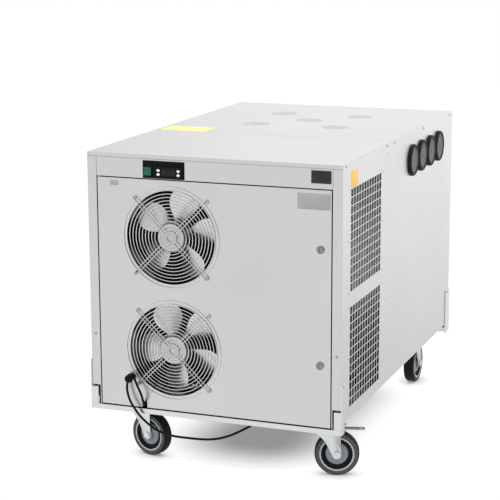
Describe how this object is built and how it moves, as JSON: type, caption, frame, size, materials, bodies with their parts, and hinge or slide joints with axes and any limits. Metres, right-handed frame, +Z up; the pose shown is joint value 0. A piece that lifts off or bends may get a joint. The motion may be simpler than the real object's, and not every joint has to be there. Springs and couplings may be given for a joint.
{
  "type": "jockey box beer cooler",
  "caption": "Wheeled stainless water-bath beer line cooler with a hinged two-fan front door, a control panel, python outlets and a mains lead on a hook.",
  "frame": {"origin": "centre of the whole cooler's bounding box, without the mains lead, at floor level", "axes": "+Z up, +Y from the front door to the rear panel, +X to the right as seen from the front"},
  "size_m": [0.7442, 1.209, 0.874],
  "materials": {
    "stainless": "fine brushed, satin",
    "frame_steel": "satin",
    "galvanised": "galvanised, dull",
    "black_plastic": "satin",
    "white_button": "satin",
    "green_plastic": "glossy, translucent",
    "outlet_rubber": "satin",
    "outlet_grey": "matt",
    "screw_steel": "polished",
    "tank_steel": "satin",
    "foam": "matt foam",
    "copper": "copper, satin",
    "coil_steel": "polished",
    "pump_plastic": "satin",
    "agitator_steel": "satin",
    "black_enamel": "gloss enamel",
    "fin_aluminium": "satin",
    "grey_box": "satin",
    "drain_plastic": "satin",
    "zinc": "bright zinc plate",
    "caster_tyre": "matt grey rubber on a light rim",
    "guard_wire": "bright plated wire",
    "motor_grey": "satin",
    "blade_aluminium": "satin",
    "lock_chrome": "polished",
    "hook_black": "satin",
    "cord_rubber": "satin"
  },
  "bodies": {
    "housing": {"base_cross_rails": "frame_steel", "base_side_rails": "frame_steel", "beverage_coils": "coil_steel", "bulkhead": "galvanised", "caster_plates": "zinc", "circulation_pumps": "pump_plastic", "compressor": "black_enamel", "condenser": "fin_aluminium", "control_plate": "black_plastic", "cord_clips": "zinc", "cord_gland": "black_plastic", "corner_uprights": "frame_steel", "drain_pipe": "drain_plastic", "electrical_box": "grey_box", "evaporator_coil": "copper", "fascia": "stainless", "floor_pan": "galvanised", "front_cover": "stainless", "front_stiles": "stainless", "mains_cord": "cord_rubber", "mains_cord_coil": "cord_rubber", "mains_plug": "black_plastic", "panel_screws": "screw_steel", "python_collars": "outlet_rubber", "python_plugs": "outlet_grey", "rear_lid": "stainless", "rear_panel": "stainless", "refrigerant_lines": "copper", "rocker_frame": "black_plastic", "side_panel_left": "stainless", "side_panel_right": "stainless", "tank_insulation": "foam", "thermostat": "black_plastic", "water_tank": "tank_steel"},
    "door": {"front_door": "stainless", "door_hinge_pins": "screw_steel", "fan_guard_upper": "guard_wire", "fan_guard_lower": "guard_wire", "guard_screws": "screw_steel", "fan_motors": "motor_grey", "cord_hook": "hook_black"},
    "fan_upper": {"fan_rotor_upper": "blade_aluminium"},
    "fan_lower": {"fan_rotor_lower": "blade_aluminium"},
    "lock_upper_body": {"lock_upper": "lock_chrome"},
    "lock_lower_body": {"lock_lower": "lock_chrome"},
    "rocker": {"rocker_key": "green_plastic"},
    "agitator": {"agitator_rotor": "agitator_steel"},
    "pedal": {"brake_pedal": "zinc"},
    "button_1": {"thermostat_button_1": "white_button"},
    "button_2": {"thermostat_button_2": "white_button"},
    "button_3": {"thermostat_button_3": "white_button"},
    "button_4": {"thermostat_button_4": "white_button"},
    "fork_front_left": {"caster_fork_front_left": "zinc"},
    "wheel_front_left": {"caster_wheel_front_left": "caster_tyre"},
    "fork_front_right": {"caster_fork_front_right": "zinc"},
    "wheel_front_right": {"caster_wheel_front_right": "caster_tyre"},
    "fork_rear_left": {"caster_fork_rear_left": "zinc"},
    "wheel_rear_left": {"caster_wheel_rear_left": "caster_tyre"},
    "fork_rear_right": {"caster_fork_rear_right": "zinc"},
    "wheel_rear_right": {"caster_wheel_rear_right": "caster_tyre"}
  },
  "joints": [
    {"name": "door_hinge", "type": "hinge", "parent": "housing", "child": "door", "pos_m": [-0.33302, -0.563, 0.49075], "axis": [0, 0, -1], "range_deg": [0, 110], "deforming": ["mains_cord"]},
    {"name": "fan_upper_spin", "type": "hinge", "parent": "door", "child": "fan_upper", "pos_m": [-0.12512, -0.5235, 0.6538], "axis": [0, 1, 0], "continuous": true},
    {"name": "fan_lower_spin", "type": "hinge", "parent": "door", "child": "fan_lower", "pos_m": [-0.12192, -0.5235, 0.3438], "axis": [0, 1, 0], "continuous": true},
    {"name": "lock_upper_turn", "type": "hinge", "parent": "door", "child": "lock_upper_body", "pos_m": [0.29408, -0.5675, 0.6517], "axis": [0, -1, 0], "range_deg": [0, 90]},
    {"name": "lock_lower_turn", "type": "hinge", "parent": "door", "child": "lock_lower_body", "pos_m": [0.29408, -0.5675, 0.3421], "axis": [0, -1, 0], "range_deg": [0, 90]},
    {"name": "rocker_tilt", "type": "hinge", "parent": "housing", "child": "rocker", "pos_m": [-0.18852, -0.5715, 0.8304], "axis": [1, 0, 0], "range_deg": [0, 16]},
    {"name": "agitator_spin", "type": "hinge", "parent": "housing", "child": "agitator", "pos_m": [-0.00712, 0.21975, 0.713], "axis": [0, 0, 1], "continuous": true},
    {"name": "pedal_press", "type": "hinge", "parent": "fork_front_right", "child": "pedal", "pos_m": [0.30105, -0.43054, 0.1281], "axis": [-0.299, 0.9542, 0], "range_deg": [0, 14]},
    {"name": "button_1_press", "type": "slide", "parent": "housing", "child": "button_1", "axis": [0, 1, 0], "range_m": [0, 0.0008], "stiffness_N_per_m": 120},
    {"name": "button_2_press", "type": "slide", "parent": "housing", "child": "button_2", "axis": [0, 1, 0], "range_m": [0, 0.0008], "stiffness_N_per_m": 120},
    {"name": "button_3_press", "type": "slide", "parent": "housing", "child": "button_3", "axis": [0, 1, 0], "range_m": [0, 0.0008], "stiffness_N_per_m": 120},
    {"name": "button_4_press", "type": "slide", "parent": "housing", "child": "button_4", "axis": [0, 1, 0], "range_m": [0, 0.0008], "stiffness_N_per_m": 120},
    {"name": "swivel_front_left", "type": "hinge", "parent": "housing", "child": "fork_front_left", "pos_m": [-0.27712, -0.4425, 0.1531], "axis": [0, 0, 1], "continuous": true},
    {"name": "roll_front_left", "type": "hinge", "parent": "fork_front_left", "child": "wheel_front_left", "pos_m": [-0.24069, -0.45329, 0.061], "axis": [-0.284, -0.9588, 0], "continuous": true},
    {"name": "swivel_front_right", "type": "hinge", "parent": "housing", "child": "fork_front_right", "pos_m": [0.26288, -0.4425, 0.1531], "axis": [0, 0, 1], "continuous": true},
    {"name": "roll_front_right", "type": "hinge", "parent": "fork_front_right", "child": "wheel_front_right", "pos_m": [0.29914, -0.43114, 0.061], "axis": [0.299, -0.9542, 0], "continuous": true},
    {"name": "swivel_rear_left", "type": "hinge", "parent": "housing", "child": "fork_rear_left", "pos_m": [-0.27712, 0.4555, 0.1531], "axis": [0, 0, 1], "continuous": true},
    {"name": "roll_rear_left", "type": "hinge", "parent": "fork_rear_left", "child": "wheel_rear_left", "pos_m": [-0.25812, 0.48841, 0.061], "axis": [0.866, -0.5, 0], "continuous": true},
    {"name": "swivel_rear_right", "type": "hinge", "parent": "housing", "child": "fork_rear_right", "pos_m": [0.26288, 0.4555, 0.1531], "axis": [0, 0, 1], "continuous": true},
    {"name": "roll_rear_right", "type": "hinge", "parent": "fork_rear_right", "child": "wheel_rear_right", "pos_m": [0.26288, 0.4935, 0.061], "axis": [1, 0, 0], "continuous": true}
  ]
}
